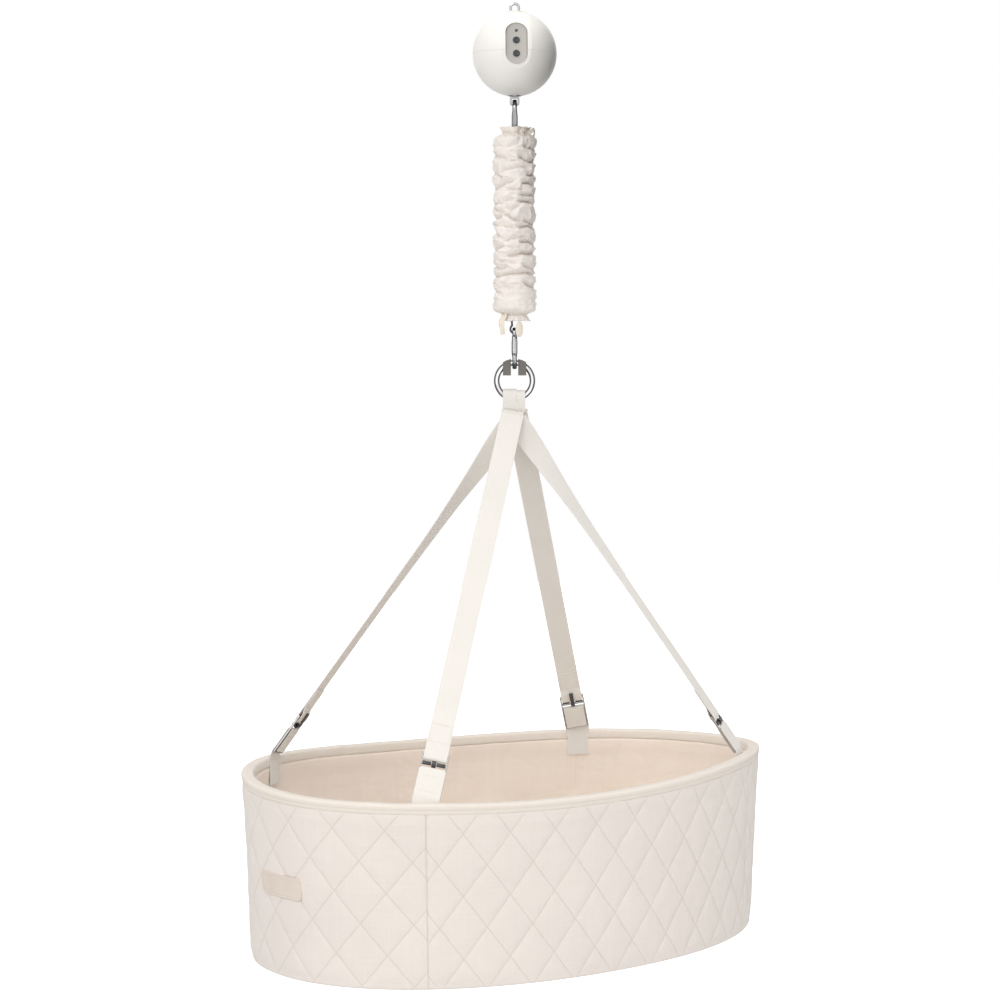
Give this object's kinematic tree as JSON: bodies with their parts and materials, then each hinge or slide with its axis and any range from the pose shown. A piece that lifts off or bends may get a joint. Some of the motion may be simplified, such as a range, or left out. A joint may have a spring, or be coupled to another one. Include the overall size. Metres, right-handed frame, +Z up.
{
  "type": "hanging baby cradle",
  "caption": "Padded oval baby basket hung by webbing straps from a steel ring, with a snap hook, a spring in a gathered sleeve and a ball-shaped lift drive above.",
  "frame": {"origin": "where the ceiling hook bears in the top eye, on the hang axis", "axes": "+Z up along the hang axis, +X along the basket's length, +Y across the basket to its rear; the long side with the front seam faces -Y"},
  "size_m": [0.8218, 0.5522, 1.3457],
  "materials": {
    "quilt": "matt quilted cotton, off-white",
    "lining": "matt plain cotton, beige",
    "binding": "matt cotton binding, white",
    "webbing": "woven webbing, off-white",
    "sleeve": "gathered cotton, beige white",
    "foam": "soft foam and wadding",
    "housing": "satin white moulded plastic",
    "panel": "light grey plastic",
    "dark_rubber": "dark grey",
    "bright_steel": "polished steel",
    "dark_steel": "dark plated steel",
    "nylon": "grey brown nylon",
    "wood": "plain board",
    "patch": "beige, blank",
    "laminate": "green board",
    "case": "black",
    "brass": "plain"
  },
  "bodies": {
    "housing": {"top_eye": "bright_steel", "upper_shell": "housing", "lower_shell": "housing", "control_panel": "panel", "signal_lens": "dark_rubber", "circuit_board": "laminate", "chassis": "dark_steel", "gearbox": "case", "motor": "bright_steel", "guide_bush": "brass", "battery_pack": "case"},
    "start_button": {"start_button": "dark_rubber"},
    "speed_button": {"speed_button": "dark_rubber"},
    "pinion": {"pinion": "brass"},
    "lift_rod": {"lift_rod": "bright_steel"},
    "upper_hook": {"upper_hook": "bright_steel", "spring": "dark_steel", "sleeve": "sleeve", "sleeve_top_tie": "sleeve"},
    "upper_gate": {"upper_hook_gate": "bright_steel"},
    "sleeve_foot": {"sleeve_bottom_tie": "sleeve", "sleeve_tab": "sleeve"},
    "lower_hook": {"lower_hook": "bright_steel"},
    "lower_gate": {"lower_hook_gate": "bright_steel"},
    "ring": {"ring": "bright_steel", "ring_keeper_left": "nylon", "ring_keeper_right": "nylon"},
    "basket": {"ring_loop_left": "webbing", "ring_loop_right": "webbing", "strap_left": "webbing", "rim_tab_left": "webbing", "buckle_left": "dark_steel", "strap_front": "webbing", "rim_tab_front": "webbing", "buckle_front": "dark_steel", "strap_right": "webbing", "rim_tab_right": "webbing", "buckle_right": "dark_steel", "strap_rear": "webbing", "rim_tab_rear": "webbing", "buckle_rear": "dark_steel", "quilt_front": "quilt", "quilt_rear": "quilt", "quilt_left_end": "quilt", "quilt_right_end": "quilt", "foam_wall": "foam", "lining": "lining", "rim_binding": "binding", "base_fabric": "quilt", "base_board": "wood", "label_patch": "patch"},
    "mattress": {"mattress": "binding"},
    "prong_left": {"prong_left": "dark_steel"},
    "prong_front": {"prong_front": "dark_steel"},
    "prong_right": {"prong_right": "dark_steel"},
    "prong_rear": {"prong_rear": "dark_steel"}
  },
  "joints": [
    {"name": "start_button_press", "type": "slide", "parent": "housing", "child": "start_button", "axis": [0.5532, 0.8109, -0.1908], "range_m": [0, 0.0008], "stiffness_N_per_m": 600, "springref_m": -0.0004},
    {"name": "speed_button_press", "type": "slide", "parent": "housing", "child": "speed_button", "axis": [0.5532, 0.8109, -0.1908], "range_m": [0, 0.0008], "stiffness_N_per_m": 600, "springref_m": -0.0004},
    {"name": "rod_lift", "type": "slide", "parent": "housing", "child": "lift_rod", "axis": [0, 0, -1], "range_m": [0, 0.025]},
    {"name": "pinion_spin", "type": "hinge", "parent": "housing", "child": "pinion", "pos_m": [0.00691, 0.00924, -0.081], "axis": [0.8007, -0.599, 0], "range_deg": [0, 188]},
    {"name": "upper_hook_swing", "type": "hinge", "parent": "lift_rod", "child": "upper_hook", "pos_m": [0, 0, -0.141], "axis": [0.8007, -0.599, 0], "range_deg": [-20, 20]},
    {"name": "upper_gate_open", "type": "hinge", "parent": "upper_hook", "child": "upper_gate", "pos_m": [0.00235, 0.00314, -0.1815], "axis": [0.8007, -0.599, 0], "range_deg": [0, 25], "stiffness_Nm_per_rad": 0.05, "springref_deg": -17.19},
    {"name": "spring_stretch", "type": "slide", "parent": "upper_hook", "child": "sleeve_foot", "axis": [0, 0, -1], "range_m": [-0.015, 0.11], "stiffness_N_per_m": 750, "springref_m": -0.09274, "deforming": ["spring", "sleeve"]},
    {"name": "lower_hook_swing", "type": "hinge", "parent": "sleeve_foot", "child": "lower_hook", "pos_m": [0, 0, -0.4611], "axis": [0.599, 0.8007, 0], "range_deg": [-12, 12]},
    {"name": "lower_gate_open", "type": "hinge", "parent": "lower_hook", "child": "lower_gate", "pos_m": [-0.00235, -0.00314, -0.471], "axis": [0.8007, -0.599, 0], "range_deg": [0, 25], "stiffness_Nm_per_rad": 0.05, "springref_deg": -17.19},
    {"name": "ring_swing", "type": "hinge", "parent": "lower_hook", "child": "ring", "pos_m": [0, 0, -0.5095], "axis": [0.8007, -0.599, 0], "range_deg": [-20, 20]},
    {"name": "basket_swing", "type": "hinge", "parent": "ring", "child": "basket", "pos_m": [0, 0, -0.5609], "axis": [0.8007, -0.599, 0], "range_deg": [-12, 12]},
    {"name": "mattress_lift", "type": "slide", "parent": "basket", "child": "mattress", "axis": [0, 0, 1], "range_m": [0, 0.15]},
    {"name": "prong_left_open", "type": "hinge", "parent": "basket", "child": "prong_left", "pos_m": [-0.26071, 0.17669, -1.03202], "axis": [0.7512, 0.6306, -0.1953], "range_deg": [0, 70]},
    {"name": "prong_front_open", "type": "hinge", "parent": "basket", "child": "prong_front", "pos_m": [-0.26176, -0.16708, -1.04388], "axis": [-0.7563, 0.6236, 0.1979], "range_deg": [0, 70]},
    {"name": "prong_right_open", "type": "hinge", "parent": "basket", "child": "prong_right", "pos_m": [0.24685, -0.16642, -1.03119], "axis": [-0.7572, -0.6241, -0.1925], "range_deg": [0, 70]},
    {"name": "prong_rear_open", "type": "hinge", "parent": "basket", "child": "prong_rear", "pos_m": [0.24819, 0.17696, -1.04362], "axis": [0.7696, -0.6147, 0.1727], "range_deg": [0, 70]}
  ],
  "couplings": [
    {"joint": "pinion_spin", "follows": "rod_lift", "rad_per_m": 130.9}
  ]
}
